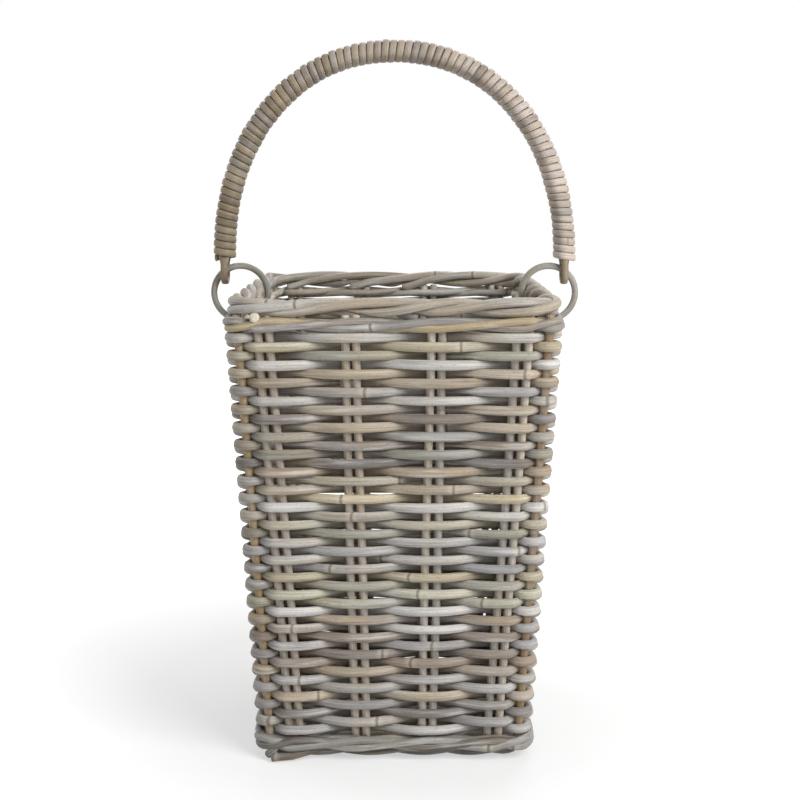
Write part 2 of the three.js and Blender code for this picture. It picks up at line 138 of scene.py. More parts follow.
def rod(path, up, half_up, half_out, tint, shift, closed=False, square=1.0):
    """One length of rattan: rings of points round a path, with its grain and its colour."""
    path = np.asarray(path, dtype=float)
    count = len(path)
    ahead = np.roll(path, -1, axis=0) - np.roll(path, 1, axis=0)
    if not closed:
        ahead[0] = path[1] - path[0]
        ahead[-1] = path[-1] - path[-2]
    ahead /= np.linalg.norm(ahead, axis=1)[:, None]
    out = np.cross(ahead, np.broadcast_to(np.asarray(up, dtype=float), (count, 3)))
    out /= np.linalg.norm(out, axis=1)[:, None]
    rise = np.cross(out, ahead)
    along = np.concatenate([[0], np.cumsum(np.linalg.norm(np.diff(path, axis=0), axis=1))])
    from_scar = ((along + shift) / scar_spacing) % 1 - 0.5
    swell = 1 + scar_swell * np.exp(-(from_scar * scar_spacing / scar_width) ** 2)
    half_up = np.broadcast_to(half_up, count) * swell
    half_out = np.broadcast_to(half_out, count) * swell
    tint = np.broadcast_to(np.asarray(tint, dtype=float), (count, 3))
    if not closed:
        order = np.concatenate([[0, 0], np.arange(count), [count - 1, count - 1]])
        push = np.zeros(len(order))
        push[[0, 1, -2, -1]] = end_push
        shrink = np.ones(len(order))
        shrink[[0, 1, -2, -1]] = end_shrink
        path = path[order] + ahead[order] * push[:, None]
        out = out[order]
        rise = rise[order]
        along = along[order]
        tint = tint[order]
        half_up = half_up[order] * shrink
        half_out = half_out[order] * shrink
    angles = np.linspace(0, 2 * math.pi, rod_sides, endpoint=False)
    across = np.sign(np.cos(angles)) * np.abs(np.cos(angles)) ** square
    above = np.sign(np.sin(angles)) * np.abs(np.sin(angles)) ** square
    places = (path[:, None, :] + out[:, None, :] * (half_out[:, None] * across)[:, :, None]
              + rise[:, None, :] * (half_up[:, None] * above)[:, :, None])
    grain = np.stack([np.broadcast_to((along + shift)[:, None], places.shape[:2]),
                      half_out[:, None] * across, half_up[:, None] * above], axis=2)
    tint = np.broadcast_to(tint[:, None, :], places.shape)
    return {"places": places, "grain": grain, "tint": tint, "closed": closed}


def bundle(name, rods, material, body, nodes):
    """One object of rods, which rides on a body and stands for CAD nodes."""
    places = []
    grain = []
    tints = []
    faces = []
    flat = []
    first = 0
    for piece in rods:
        rings, sides = piece["places"].shape[:2]
        places.append(piece["places"].reshape(-1, 3))
        grain.append(piece["grain"].reshape(-1, 3))
        tints.append(np.insert(piece["tint"].reshape(-1, 3), 3, 1.0, axis=1))
        spans = rings if piece["closed"] else rings - 1
        for ring in range(spans):
            here = first + ring * sides
            after = first + (ring + 1) % rings * sides
            for side in range(sides):
                turn = (side + 1) % sides
                faces.append((here + side, after + side, after + turn, here + turn))
        if not piece["closed"]:
            last = first + (rings - 1) * sides
            flat.extend([len(faces), len(faces) + 1])
            faces.append(tuple(first + side for side in range(sides)))
            faces.append(tuple(last + side for side in reversed(range(sides))))
        first += rings * sides
    mesh = bpy.data.meshes.new(name)
    mesh.from_pydata(np.concatenate(places).tolist(), [], faces)
    smooth = np.ones(len(faces), dtype=bool)
    smooth[flat] = False
    mesh.polygons.foreach_set("use_smooth", smooth)
    mesh.attributes.new("grain", "FLOAT_VECTOR", "POINT").data.foreach_set(
        "vector", np.concatenate(grain).astype(np.float32).ravel())
    mesh.attributes.new("tint", "FLOAT_COLOR", "POINT").data.foreach_set(
        "color", np.concatenate(tints).astype(np.float32).ravel())
    mesh.materials.append(material)
    piece = bpy.data.objects.new(name, mesh)
    bpy.context.scene.collection.objects.link(piece)
    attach(piece, body)
    if nodes:
        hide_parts(*nodes)
    return piece


tan_patch = linear(170, 152, 124)
grey_patch = linear(170, 169, 173)
chalk_colour = linear(214, 211, 206)
dirt_colour = linear(84, 74, 66)
pale_ring_colour = linear(206, 196, 178)
scar_colour = linear(72, 58, 50)
fleck_colour = linear(70, 60, 54)
crack_colour = linear(76, 66, 58)
fibre_depth = 0.6 * MM
rattan_specular = 0.3


def rattan(name, streak, chalk, dirt, scar, roughness, bump):
    """Weathered rattan: the rod's own colour with fibre streaks, chalk, dirt and ring scars."""
    material = bpy.data.materials.new(name)
    material.use_nodes = True
    tree = material.node_tree
    shader = tree.nodes["Principled BSDF"]
    shader.inputs["Specular IOR Level"].default_value = rattan_specular

    def node(kind, **settings):
        made = tree.nodes.new(kind)
        for key, value in settings.items():
            setattr(made, key, value)
        return made

    def noise(scale, detail, rough, offset):
        stretch = node("ShaderNodeVectorMath", operation="MULTIPLY_ADD")
        tree.links.new(grain.outputs["Vector"], stretch.inputs[0])
        stretch.inputs[1].default_value = scale
        stretch.inputs[2].default_value = offset
        texture = node("ShaderNodeTexNoise")
        texture.inputs["Scale"].default_value = 1
        texture.inputs["Detail"].default_value = detail
        texture.inputs["Roughness"].default_value = rough
        tree.links.new(stretch.outputs["Vector"], texture.inputs["Vector"])
        return texture.outputs["Fac"]

    def ranged(value, low, high, to_low, to_high):
        step = node("ShaderNodeMapRange", interpolation_type="SMOOTHSTEP")
        for socket, number in zip(step.inputs[1:5], (low, high, to_low, to_high)):
            socket.default_value = number
        tree.links.new(value, step.inputs[0])
        return step.outputs[0]

    def sums(operation, first, second=0.0):
        step = node("ShaderNodeMath", operation=operation)
        for socket, value in zip(step.inputs, (first, second)):
            if isinstance(value, (int, float)):
                socket.default_value = value
            else:
                tree.links.new(value, socket)
        return step.outputs[0]

    def mixed(share, below, above, blend="MIX"):
        step = node("ShaderNodeMix", data_type="RGBA", blend_type=blend)
        for socket, value in zip((step.inputs[0], step.inputs[6], step.inputs[7]), (share, below, above)):
            if isinstance(value, float):
                socket.default_value = value
            elif isinstance(value, tuple):
                socket.default_value = (*value, 1)
            else:
                tree.links.new(value, socket)
        return step.outputs[2]

    grain = node("ShaderNodeAttribute", attribute_name="grain")
    tint = node("ShaderNodeAttribute", attribute_name="tint")
    fibre = noise((20, 1300, 1300), 3, 0.6, (0, 0, 0))
    cloud = noise((16, 190, 190), 4, 0.65, (3, 7, 11))
    grime = noise((8, 150, 150), 3, 0.6, (17, 5, 2))
    fleck = noise((420, 1500, 1500), 1, 0.5, (1, 9, 4))
    drift = noise((11, 60, 60), 2, 0.5, (6, 2, 13))
    crack = noise((34, 2600, 2600), 2, 0.6, (8, 12, 3))
    split = node("ShaderNodeSeparateXYZ")
    tree.links.new(grain.outputs["Vector"], split.inputs[0])
    skewed = sums("ADD", split.outputs[0], sums("MULTIPLY", split.outputs[1], 0.35))
    turns = sums("FRACT", sums("DIVIDE", skewed, scar_spacing))
    from_ring = sums("ABSOLUTE", sums("SUBTRACT", turns, 0.5))
    ring = ranged(from_ring, 0.0015, 0.005, 1, 0)
    pale_ring = ranged(from_ring, 0.005, 0.02, 1, 0)

    streaks = ranged(fibre, 0.3, 0.7, 1 - streak, 1 + 0.3 * streak)
    colour = mixed(1.0, tint.outputs["Color"], streaks, "MULTIPLY")
    colour = mixed(ranged(drift, 0.5, 0.68, 0, 0.38), colour, tan_patch)
    colour = mixed(ranged(drift, 0.5, 0.34, 0, 0.32), colour, grey_patch)
    colour = mixed(ranged(cloud, 0.5, 0.7, 0, chalk), colour, chalk_colour)
    colour = mixed(ranged(grime, 0.54, 0.72, 0, dirt), colour, dirt_colour)
    colour = mixed(sums("MULTIPLY", pale_ring, 0.5 * scar), colour, pale_ring_colour)
    colour = mixed(sums("MULTIPLY", ring, scar), colour, scar_colour)
    colour = mixed(ranged(fleck, 0.62, 0.74, 0, 0.5), colour, fleck_colour)
    colour = mixed(ranged(crack, 0.64, 0.74, 0, 0.55), colour, crack_colour)
    tree.links.new(colour, shader.inputs["Base Color"])
    shine = ranged(fibre, 0.3, 0.7, roughness + 0.1, roughness - 0.08)
    tree.links.new(shine, shader.inputs["Roughness"])
    relief = node("ShaderNodeBump")
    relief.inputs["Strength"].default_value = bump
    relief.inputs["Distance"].default_value = fibre_depth
    raised = sums("ADD", fibre, sums("MULTIPLY", cloud, 0.6))
    height = sums("SUBTRACT", raised, sums("MULTIPLY", ring, 0.5))
    tree.links.new(height, relief.inputs["Height"])
    tree.links.new(relief.outputs["Normal"], shader.inputs["Normal"])
    return material


colour_spread = 0.1


def picked(chance, palette):
    """A colour for one rod: one of the palette's, a little lighter or darker."""
    red, green, blue = chance.choice(palette)
    light = 1 + chance.uniform(-colour_spread, colour_spread)
    return linear(*(min(255, value * light) for value in (red, green, blue)))


stake_finish = rattan("stake_rattan", streak=0.26, chalk=0.35, dirt=0.22, scar=0.4,
                      roughness=0.62, bump=0.35)
stake_colours = [(206, 195, 181), (198, 187, 173), (212, 200, 185), (192, 179, 164), (202, 195, 184)]
chance = random.Random(11)
for pair in range(4):
    for offset, number in ((-pair_half, 2 * pair + 1), (pair_half, 2 * pair + 2)):
        bends = [(front_y, stake_top), (front_y, base_long_z), (riser_wall, base_long_z),
                 (riser_wall, step_long_z), (back_y, step_long_z), (back_y, stake_top)]
        corners = [(pair_x(pair, z) + offset, wall(z), z) for wall, z in bends]
        path = evenly(bent_path(corners, stake_bend), point_spacing)
        path[:, 0] += waver(len(path), *long_waver, chance)
        stake = rod(path, (1, 0, 0), stake_radius, stake_radius, picked(chance, stake_colours),
                    cut_place(chance))
        bundle(f"long_rod_{number}", [stake], stake_finish, "basket",
               [f"long_stake_{number}"])
for prefix, places, floor_z in (("front", front_side_y, base_cross_z), ("rear", rear_side_y, step_cross_z)):
    for pair, y in enumerate(places):
        for offset, number in ((-pair_half, 2 * pair + 1), (pair_half, 2 * pair + 2)):
            corners = [(-side_x(stake_top), y + offset, stake_top), (-side_x(floor_z), y + offset, floor_z),
                       (side_x(floor_z), y + offset, floor_z), (side_x(stake_top), y + offset, stake_top)]
            path = evenly(bent_path(corners, stake_bend), point_spacing)
            path[:, 1] += waver(len(path), *cross_waver, chance)
            stake = rod(path, (0, 1, 0), stake_radius, stake_radius, picked(chance, stake_colours),
                        cut_place(chance))
            bundle(f"{prefix}_cross_rod_{number}", [stake], stake_finish, "basket",
                   [f"{prefix}_cross_stake_{number}"])

# Floors: short rattan rods laid across each well, over one pair of long stakes and under the next,
# packed between the cross stakes and the walls. Their ends are cut off behind the side walls.
weaver_finish = rattan("weaver_rattan", streak=0.34, chalk=0.5, dirt=0.45, scar=0.55,
                       roughness=0.6, bump=0.45)
weaver_colours = [
    (173, 170, 168), (182, 179, 177), (162, 158, 155), (192, 189, 185), (178, 174, 167), (169, 167, 158),
    (197, 195, 191), (182, 168, 148), (168, 152, 133), (194, 184, 158), (152, 138, 124), (149, 145, 142),
    (176, 173, 156), (188, 182, 165), (163, 161, 149), (129, 122, 116),
]
floor_half = 3.3 * MM
floor_reach = stake_radius + floor_half + 0.2 * MM
floor_lane = 11.6 * MM
floor_edge = 8 * MM
floor_pitch = 6.4 * MM
floor_flat = 6 * MM
floor_waver = 0.15 * MM
floor_steps = 60


def eased(share):
    """A share from 0 to 1 that starts and ends gently."""
    share = min(1.0, max(0.0, share))
    return share * share * (3 - 2 * share)


def floor_row(y, z, first_side, chance):
    """One rod across a floor, over one pair of long stakes and under the next."""
    half_run = side_x(z) - floor_edge
    crossings = [pair_x(pair, z) for pair in range(4)]
    path = []
    for x in np.linspace(-half_run, half_run, floor_steps):
        side = first_side
        lift = side
        for left, right in zip(crossings, crossings[1:]):
            if x > left:
                gone = (x - left - floor_flat) / (right - left - 2 * floor_flat)
                lift = side * (1 - 2 * eased(gone))
            side = -side
        path.append((x, y + chance.uniform(-floor_waver, floor_waver), z + lift * floor_reach))
    thick = floor_half * chance.uniform(0.94, 1.02)
    return rod(path, (0, 0, 1), thick, thick, picked(chance, weaver_colours), cut_place(chance))


chance = random.Random(23)
for name, node, z, lanes, near_wall, far_wall in (
        ("base_floor", "base_weaver", base_long_z, front_side_y, front_y(base_long_z), riser_y),
        ("step_floor", "step_weaver", step_long_z, rear_side_y, riser_y, back_y(step_long_z))):
    rows = []
    lows = [near_wall + floor_edge] + [lane + floor_lane for lane in lanes]
    highs = [lane - floor_lane for lane in lanes] + [far_wall - floor_edge]
    for low, high in zip(lows, highs):
        count = max(1, int((high - low) / floor_pitch) + 1)
        for y in np.linspace(low, high, count) if count > 1 else [(low + high) / 2]:
            rows.append(floor_row(y, z, 1 if len(rows) % 2 else -1, chance))
    bundle(name, rows, weaver_finish, "basket", [node])

# Foot border and step border: two rattan rods laid round each other under the floor's edge. The foot
# goes right round, with two more rods packed over it, and is what the basket stands on; its last ends
# stick out at the front left. The step's border goes round three sides of the step.
border_finish = rattan("border_rattan", streak=0.34, chalk=0.5, dirt=0.45, scar=0.6,
                       roughness=0.62, bump=0.45)
border_colours = [
    (170, 166, 157), (178, 174, 166), (164, 157, 147), (188, 184, 177), (156, 148, 137), (174, 163, 148),
    (182, 172, 157), (152, 148, 143), (180, 178, 169), (162, 159, 154), (140, 134, 128), (196, 178, 142),
]
foot_colours = [(137, 134, 127), (128, 121, 112), (149, 142, 128), (133, 130, 127), (119, 110, 99)]
hoop_inset = 4.5 * MM
hoop_strand = 2.9 * MM
hoop_strand_out = 3.4 * MM
hoop_spread = 2.2 * MM
hoop_lift = hoop_strand + hoop_spread + 0.4 * MM
hoop_period = 84 * MM
hoop_corner = 15 * MM
hoop_unrest = 0.03
packing_out = 3.4 * MM
packing_z = 16.4 * MM
packing_half = 3.2 * MM
packing_spread = 1.8 * MM
loose_half = 3.4 * MM
loose_bend = 9 * MM
loose_spacing = 2.5 * MM
corner_steps = 12
rope_sways = 5
step_height = 182 * MM
weave_depth = 12.9 * MM


def outline(half_x, front, rear, radius, spacing):
    """Even points round a rectangle with round corners, from its left front, and the way out at each."""
    points = []
    centres = [(half_x - radius, front + radius, -90), (half_x - radius, rear - radius, 0),
               (radius - half_x, rear - radius, 90), (radius - half_x, front + radius, 180)]
    for x, y, start in centres:
        for step in range(corner_steps + 1):
            angle = math.radians(start + 90 * step / corner_steps)
            points.append((x + radius * math.cos(angle), y + radius * math.sin(angle), 0))
    points = np.array([points[-1]] + points)
    return with_outward(evenly(points, spacing)[:-1], True)


def with_outward(points, closed):
    """The points, and the way out from the well at each."""
    ahead = np.roll(points, -1, axis=0) - np.roll(points, 1, axis=0)
    if not closed:
        ahead[0] = points[1] - points[0]
        ahead[-1] = points[-1] - points[-2]
    ahead /= np.linalg.norm(ahead, axis=1)[:, None]
    return points, np.stack([ahead[:, 1], -ahead[:, 0], np.zeros(len(points))], axis=1)


def laid(points, outward, z, spread, twists, phase, chance, unrest):
    """One strand's path in a rope that follows the given points."""
    share = np.linspace(0, 1, len(points), endpoint=False)
    sway = unrest * np.sin(2 * math.pi * (rope_sways * share + chance.random()))
    angle = 2 * math.pi * (twists * share + phase + sway)
    path = points + outward * (spread * np.cos(angle))[:, None]
    path[:, 2] += z + spread * np.sin(angle)
    return path, angle


chance = random.Random(31)
foot_points, foot_out = outline(base_half_width - hoop_inset, front_y(0) + hoop_inset,
                                riser_y - hoop_inset, hoop_corner, point_spacing)
foot_twists = round(len(foot_points) * point_spacing / hoop_period)
strands = []
for half_turn in (0, 0.5):
    path, _ = laid(foot_points, foot_out, hoop_lift, hoop_spread, foot_twists, half_turn, chance,
                   hoop_unrest)
    strands.append(rod(path, (0, 0, 1), hoop_strand, hoop_strand_out, picked(chance, foot_colours),
                       cut_place(chance), closed=True))
packing_points, packing_way = outline(base_half_width + packing_out, front_y(0) - packing_out,
                                      riser_y + packing_out, hoop_corner, point_spacing)
for half_turn in (0.25, 0.75):
    path, _ = laid(packing_points, packing_way, packing_z, packing_spread, foot_twists, half_turn, chance,
                   hoop_unrest)
    strands.append(rod(path, (0, 0, 1), packing_half, packing_half, picked(chance, foot_colours),
                       cut_place(chance), closed=True))
loose_ends = [[(-105, -187.5, 3.9), (-88, -185.5, 4.6), (-68, -181, 9), (-46, -173, 13)],
              [(-109, -182, 4.4), (-104, -184, 9.5), (-99, -181, 16)]]
for corners in loose_ends:
    path = evenly(bent_path(np.array(corners) * MM, loose_bend), loose_spacing)
    strands.append(rod(path, (0, 0, 1), loose_half, loose_half, picked(chance, foot_colours),
                       cut_place(chance)))
bundle("foot_border", strands, border_finish, "basket", ["foot_hoop"])

step_x = side_x(step_height) - hoop_inset
step_front = riser_y + weave_depth
step_back = back_y(step_height) - hoop_inset
corners = [(step_x, step_front, 0), (step_x, step_back, 0),
           (-step_x, step_back, 0), (-step_x, step_front, 0)]
step_points, step_out = with_outward(evenly(bent_path(corners, hoop_corner), point_spacing), False)
step_twists = len(step_points) * point_spacing / hoop_period
strands = []
for half_turn in (0, 0.5):
    path, _ = laid(step_points, step_out, step_height + hoop_lift, hoop_spread, step_twists, half_turn,
                   chance, hoop_unrest)
    strands.append(rod(path, (0, 0, 1), hoop_strand, hoop_strand_out, picked(chance, border_colours),
                       cut_place(chance)))
bundle("step_border", strands, border_finish, "basket", ["step_hoop"])

# Foot wale: three rattan rods laid one after another round the foot, each rising over two pairs of
# stakes and then tucked behind the next two rods. It locks the stakes before the rows begin.
row_corner = 12 * MM
pair_flat = 5.5 * MM
corner_flat = 1.5 * MM
wale_half = 3.3 * MM
wale_point = 0.45
wale_taper = 20 * MM
fewest_points = 9
lower_stands = 18
upper_stands = 24
foot_wale_start = 11
foot_wale_levels = (11.8 * MM, 18.6 * MM)
foot_wale_out = 8.8 * MM
foot_wale_tucked = 4.2 * MM
DIRECTIONS = [np.array(d, dtype=float) for d in ((1, 0), (0, 1), (-1, 0), (0, -1))]
OUTWARD = [np.array(d, dtype=float) for d in ((0, -1), (1, 0), (0, 1), (-1, 0))]


def course(upper, z):
    """The way round a well's wall at one height, from the front wall's left end.

    Gives how far along each stake pair and corner rod stands, how much flat each needs, the length
    of the whole way, and a function for the place and the way out at any distance along it.
    """
    half_x = side_x(z)
    front = front_y(z)
    rear = back_y(z) if upper else riser_y
    side = front_side_y + rear_side_y if upper else front_side_y
    inner_x = half_x - row_corner
    arc = row_corner * math.pi / 2
    deep = rear - front - 2 * row_corner
    starts = np.concatenate([[0], np.cumsum([2 * inner_x, arc, deep, arc] * 2)])
    begins = [(-inner_x, front), (half_x, front + row_corner),
              (inner_x, rear), (-half_x, rear - row_corner)]
    centres = [(inner_x, front + row_corner), (inner_x, rear - row_corner),
               (-inner_x, rear - row_corner), (-inner_x, front + row_corner)]
    stands = []
    for wall in range(4):
        if wall == 0:
            gone = [inner_x + pair_x(pair, z) for pair in range(4)]
        elif wall == 2:
            gone = [inner_x - pair_x(3 - pair, z) for pair in range(4)]
        elif wall == 1:
            gone = [y - front - row_corner for y in side]
        else:
            gone = [rear - row_corner - y for y in reversed(side)]
        stands += [(starts[2 * wall] + d, pair_flat) for d in gone]
        stands.append((starts[2 * wall + 1] + arc / 2, corner_flat))

    def place(d):
        d = d % starts[-1]
        leg = int(np.searchsorted(starts, d, side="right")) - 1
        wall = leg // 2
        gone = d - starts[leg]
        if leg % 2 == 0:
            return np.array(begins[wall]) + DIRECTIONS[wall] * gone, OUTWARD[wall]
        angle = gone / row_corner
        out = OUTWARD[wall] * math.cos(angle) + OUTWARD[(wall + 1) % 4] * math.sin(angle)
        return np.array(centres[wall]) + out * row_corner, out

    return stands, starts[-1], place


def span(stands, length, step):
    """Points from one stake to the next: how far round each is, its eased share and its plain share."""
    here, flat = stands[step % len(stands)]
    after, next_flat = stands[(step + 1) % len(stands)]
    begin = here + length * (step // len(stands))
    reach = after + length * ((step + 1) // len(stands)) - begin
    gone = np.linspace(0, reach, max(fewest_points, int(reach / point_spacing)), endpoint=False)
    return [(begin + d, eased((d - flat) / (reach - flat - next_flat)), d / reach) for d in gone]


def waled(first, last, upper, levels, outside, tucked, past, colours, chance):
    """Three rods of a wale: low outside one stake pair, high outside the next, tucked in at the third.

    They run from the first stake to the last and past both, to pointed ends.
    """
    low, high = levels
    stands, length, place = course(upper, low)
    states = [(outside, low), (outside, high), (tucked, (low + high) / 2)]
    rods = []
    for strand in range(3):
        path = []
        for step in range(first - 1, last + 1):
            from_out, from_z = states[(step + strand) % 3]
            to_out, to_z = states[(step + strand + 1) % 3]
            for d, share, climb in span(stands, length, step):
                spot, out = place(d)
                spot = spot + out * (from_out + (to_out - from_out) * share)
                climb = climb if from_out == to_out else share
                path.append((d, spot[0], spot[1], from_z + (to_z - from_z) * climb))
        path = np.array(path)
        begin = stands[first % len(stands)][0] + length * (first // len(stands)) - past
        end = stands[last % len(stands)][0] + length * (last // len(stands)) + past
        path = path[(path[:, 0] > begin) & (path[:, 0] < end)]
        from_end = np.minimum(path[:, 0] - begin, end - path[:, 0])
        pointed = np.array([wale_point + (1 - wale_point) * eased(gone / wale_taper) for gone in from_end])
        thick = wale_half * chance.uniform(0.94, 1.04) * pointed
        rods.append(rod(path[:, 1:], (0, 0, 1), thick, thick, picked(chance, colours), cut_place(chance)))
    return rods


chance = random.Random(37)
foot_rods = waled(foot_wale_start, foot_wale_start + lower_stands, False, foot_wale_levels, foot_wale_out,
                  foot_wale_tucked, 0, foot_colours, chance)
bundle("foot_wale", foot_rods, border_finish, "basket", ["foot_wale_1", "foot_wale_2"])

# Corner rods: a thicker rattan rod at each corner of a wall, cut off over the foot or the step and
# under the rim. They are pushed in once the stakes stand, and the weaving holds them.
corner_radius = 3.9 * MM
corner_inset = row_corner * (1 - math.sqrt(0.5))
corner_colours = [(186, 162, 124), (176, 148, 110), (192, 172, 138), (166, 142, 112)]
corner_low = 10 * MM
corner_step_low = 190 * MM
corner_riser_top = 197 * MM
corner_spacing = 6 * MM
corner_walls = [("front", front_y, 1, corner_low, stake_top),
                ("riser", riser_wall, -1, corner_low, corner_riser_top),
                ("back", back_y, -1, corner_step_low, stake_top)]
chance = random.Random(43)
for wall_name, wall_y, inward, low, high in corner_walls:
    for side_name, side in (("left", -1), ("right", 1)):
        ends = [(side * (side_x(z) - corner_inset), wall_y(z) + inward * corner_inset, z)
                for z in (low, high)]
        path = evenly(ends, corner_spacing)
        corner = rod(path, (0, 1, 0), corner_radius, corner_radius, picked(chance, corner_colours),
                     cut_place(chance))
        bundle(f"{wall_name}_{side_name}_corner_rod", [corner], stake_finish, "basket", [])

# Rows of weaving: each row is one or two rattan rods that go round a well in and out of the stakes,
# beaten down on the row below. The ends meet inside, behind a stake, held by their own spring, but
# the top row stops short of the rings, which go through the wall there.
row_reach = 7.1 * MM
row_half_out = 3.55 * MM
row_half_mid = 3.85 * MM
row_half_bend = 4.15 * MM
row_half_inside = 5.4 * MM
row_pitch = 7.56 * MM
first_row_z = 27 * MM
lower_rows = 24
upper_rows = 22
riser_pitch = 6.9 * MM
riser_slope_start = 84 * MM
riser_slope = 65 * MM
top_row = lower_rows + upper_rows - 1
front_run = (20, 31)
rear_run = (8, 19)
top_row_past = 20 * MM
sway_size = (0.08, 0.3)
sway_rate = (18, 40)
# Painted shade: each row's colour is darkened towards a brown where the rod passes inside behind a stake,
# and within a few centimetres of the left wall.
painted_shade_colour = np.array(linear(74, 62, 52))
inside_painted_shade = 0.55
inside_shade_from = 0.4
left_painted_shade = 0.26
left_shade_depth = 24 * MM
left_shade_fade = 16 * MM


def row_height(row, upper, y):
    """Rows lie level, but the riser's are beaten a little closer so that they stay under the step."""
    level = first_row_z + row_pitch * row
    if upper:
        return level
    back = eased((y - riser_y + riser_slope_start) / riser_slope)
    return level - back * (row_pitch - riser_pitch) * row


def woven_row(row, upper, runs, past, chance):
    """The rods of one row, each from one stake round to another and a little past it."""
    stands, length, place = course(upper, first_row_z + row_pitch * row)
    rods = []
    for start, end in runs:
        begin = stands[start % len(stands)][0] + length * (start // len(stands)) - past
        finish = stands[end % len(stands)][0] + length * (end // len(stands)) + past
        path = []
        half_up = []
        painted_shade = []
        sway = [(chance.uniform(*sway_size) * MM, chance.uniform(*sway_rate), chance.uniform(0, 6))
                for _ in range(3)]
        for step in range(start - 1, end + 1):
            side = 1 if (step + row) % 2 == 0 else -1
            for d, share, _ in span(stands, length, step):
                if not begin <= d < finish:
                    continue
                over = side * (1 - 2 * share)
                spot, out = place(d)
                spot = spot + out * over * row_reach
                z = row_height(row, upper, spot[1])
                z += sum(size * math.sin(d * rate + turn) for size, rate, turn in sway)
                path.append((spot[0], spot[1], z))
                bent = row_half_bend if over > 0 else row_half_inside
                half_up.append(row_half_mid + (bent - row_half_mid) * abs(over))
                # Painted shade, deepest where the rod is inside behind a stake, and on the left wall and
                # the corners beside it.
                inside = eased((inside_shade_from - over) / (1 + inside_shade_from))
                left_shade = eased((left_shade_depth - spot[0] - side_x(z)) / left_shade_fade)
                painted_shade.append(max(inside_painted_shade * inside, left_painted_shade * left_shade))
        thick = chance.uniform(0.93, 1.04)
        colour = np.array(picked(chance, weaver_colours))
        tint = colour + (painted_shade_colour - colour) * np.array(painted_shade[1:-1])[:, None]
        rods.append(rod(path[1:-1], (0, 0, 1), np.array(half_up[1:-1]) * thick, row_half_out * thick, tint,
                        cut_place(chance)))
    return rods


def row_runs(row, upper, chance):
    """One or two rods to a row, which begin and end behind stakes that the row passes on the inside."""
    count = upper_stands if upper else lower_stands
    inside = [step for step in range(count) if (step + row) % 2]
    joints = sorted(chance.sample(inside, 2 if chance.random() < 0.5 else 1))
    return list(zip(joints, joints[1:] + [joints[0] + count]))


chance = random.Random(47)
for twin in (0, 1):
    rods = []
    for row in range(twin, lower_rows, 2):
        rods += woven_row(row, False, row_runs(row, False, chance), 0, chance)
    bundle(f"lower_rows_{twin + 1}", rods, weaver_finish, "basket",
           [f"lower_weaver_{twin + 1}"])
for twin in (0, 1):
    rods = []
    for row in range(lower_rows + twin, top_row, 2):
        rods += woven_row(row, True, row_runs(row, True, chance), 0, chance)
    if twin:
        rods += woven_row(top_row, True, [rear_run, front_run], top_row_past, chance)
    bundle(f"upper_rows_{twin + 1}", rods, weaver_finish, "basket",
           [f"upper_weaver_{twin + 1}"])

# Step wale: three rattan rods laid round the step's lower edge as at the foot, from one side of the
# riser round the back to the other. They hide the bends of the cross stakes, and their pointed ends
# run on among the rows of the side walls.
step_run = (7, 20)
step_levels = (195.4 * MM, 201.6 * MM)
step_wale_out = 8.4 * MM
step_wale_tucked = 4.8 * MM
step_wale_past = 34 * MM
chance = random.Random(53)
step_rods = waled(*step_run, True, step_levels, step_wale_out, step_wale_tucked, step_wale_past,
                  border_colours, chance)
bundle("step_wale_rods", step_rods, border_finish, "basket", ["step_wale"])

# Top wales: three rods in and out of the stakes under the rim, in a front and a rear length. They
# stop short of each ring on both sides, where their ends are cut and held by the border.
wale_levels = (374.6 * MM, 380.8 * MM)
wale_out = 6.9 * MM
wale_past = 15 * MM
chance = random.Random(59)
front_rods = waled(*front_run, True, wale_levels, wale_out, -wale_out, wale_past, border_colours, chance)
rear_rods = waled(*rear_run, True, wale_levels, wale_out, -wale_out, wale_past, border_colours, chance)
bundle("front_wale", front_rods, border_finish, "basket", ["front_wale_1", "front_wale_2"])
bundle("rear_wale", rear_rods, border_finish, "basket", ["rear_wale_1", "rear_wale_2"])

# Rim border: stake ends and added rods laid round each other in a rope of three. Each rod is cut off
# on the inner side under the rope, and the next one starts from the middle of the rope beside it.
# The rope bows out by a millimetre at each ring, which hangs on it.
border_strand = 4.05 * MM
border_spread = 4.5 * MM
border_z = 391.4 * MM
border_twists = 7
border_unrest = 0.07
border_corner = 25 * MM
border_spacing = 4 * MM
border_point = 0.4
cut_angle = 1.3 * math.pi
past_cut = 3
start_points = 5
start_tuck = 0.55
end_points = 6
end_in = 2.5 * MM
end_drop = 3.5 * MM
cut_end_places = np.array([(-114.2, -178, 384.6), (-114.2, -198, 384.2)]) * MM
cut_end_colour = linear(226, 219, 204)
cut_end_shift = 3.0
ring_room = 1.0 * MM
ring_bow = 22 * MM
rim_points, rim_out = outline(side_x(border_z), front_y(border_z), back_y(border_z), border_corner,
                              border_spacing)
rim_points += rim_out * (ring_room * np.exp(-((rim_points[:, 1] - riser_y) / ring_bow) ** 2))[:, None]
chance = random.Random(61)
